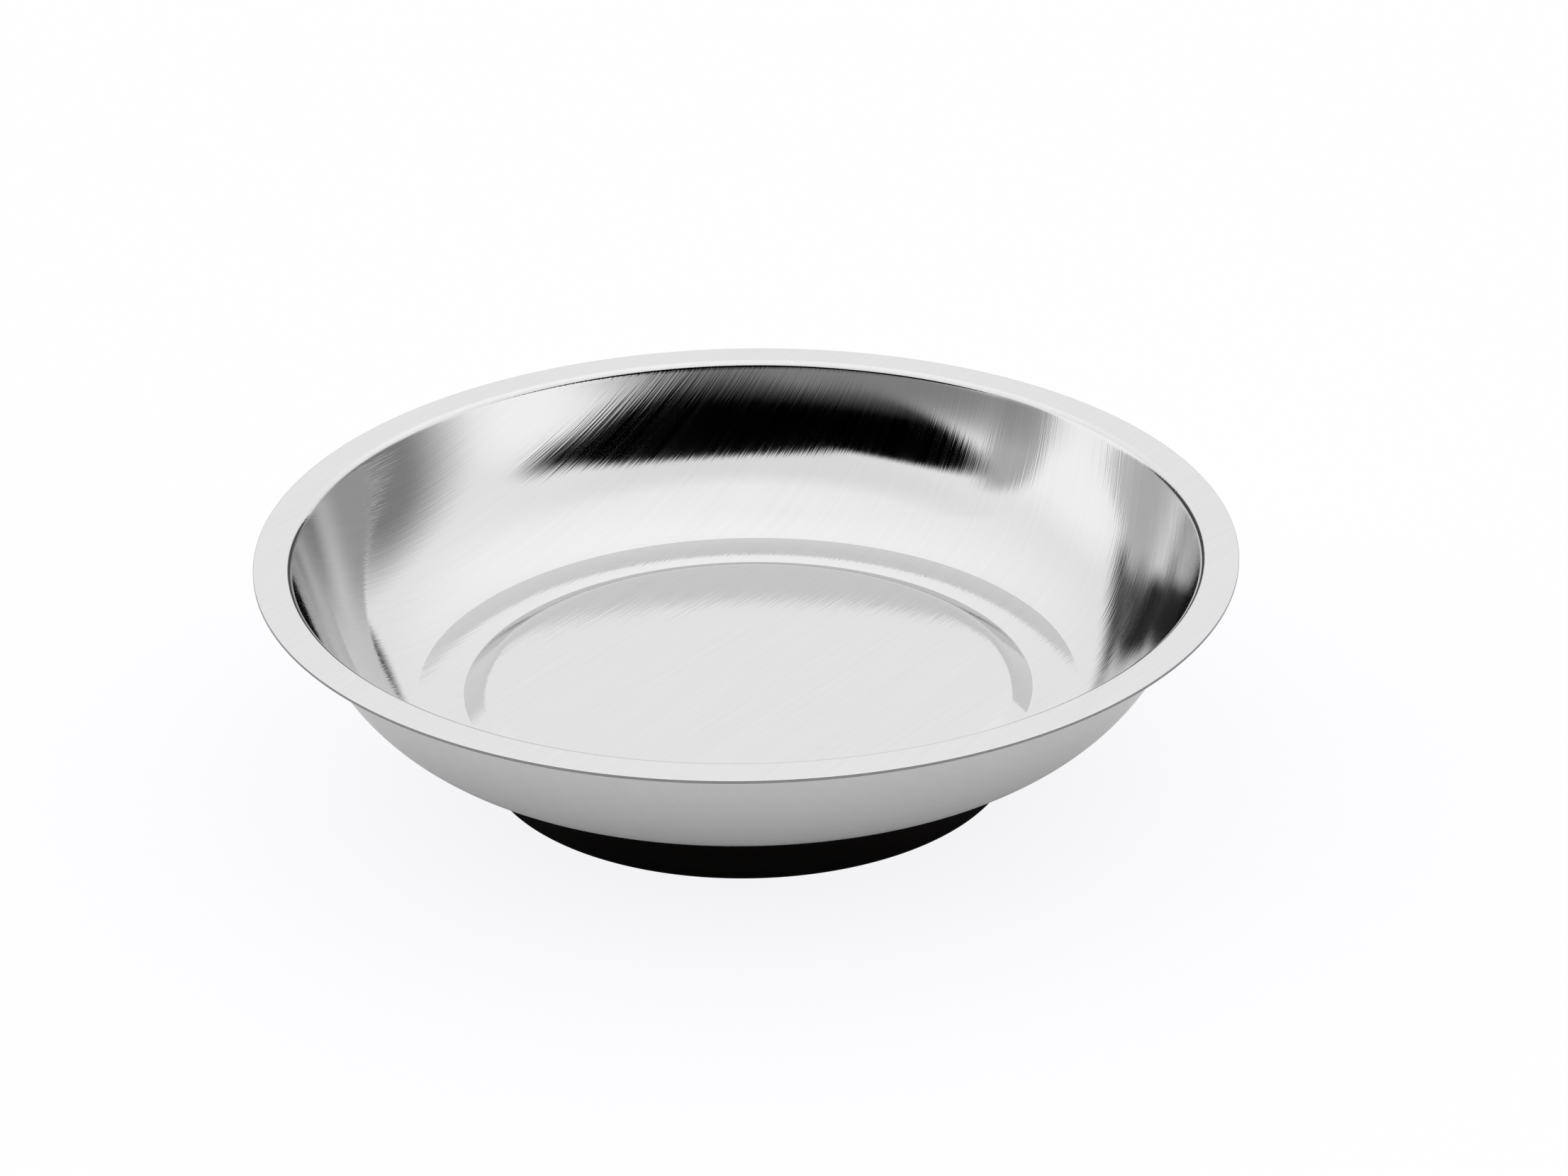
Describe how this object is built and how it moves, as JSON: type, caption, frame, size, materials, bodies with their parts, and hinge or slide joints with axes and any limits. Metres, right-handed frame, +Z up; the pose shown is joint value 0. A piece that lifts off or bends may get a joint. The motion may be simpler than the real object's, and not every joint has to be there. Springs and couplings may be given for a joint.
{
  "type": "magnetic parts dish",
  "caption": "Round pressed-steel dish with a flat rim on a rubber-covered ring magnet; keeps small steel parts together and grips a steel bench or tool.",
  "frame": {"origin": "centre of the rubber cover's underside, on the surface that the dish stands on", "axes": "+Z up along the dish's axis of symmetry; X and Y lie in the surface it stands on"},
  "size_m": [0.15, 0.15, 0.035],
  "materials": {
    "stainless_sheet": "linear brushed sheet, pressed and lightly polished",
    "copper_flashed_steel": "thin copper plating",
    "black_foam": "closed-cell foam",
    "zinc_plated_steel": "bright zinc plating",
    "ferrite": "ground sintered ferrite",
    "black_rubber": "smooth moulded nitrile rubber",
    "spring_steel": "dark phosphated spring steel"
  },
  "bodies": {
    "root": {"bowl": "stainless_sheet", "weld_stud": "copper_flashed_steel", "foam_pad": "black_foam", "pole_plate": "zinc_plated_steel", "ring_magnet": "ferrite", "rubber_cover": "black_rubber", "clamp_washer": "zinc_plated_steel", "spring_washer": "spring_steel", "hex_nut": "zinc_plated_steel"}
  },
  "joints": []
}
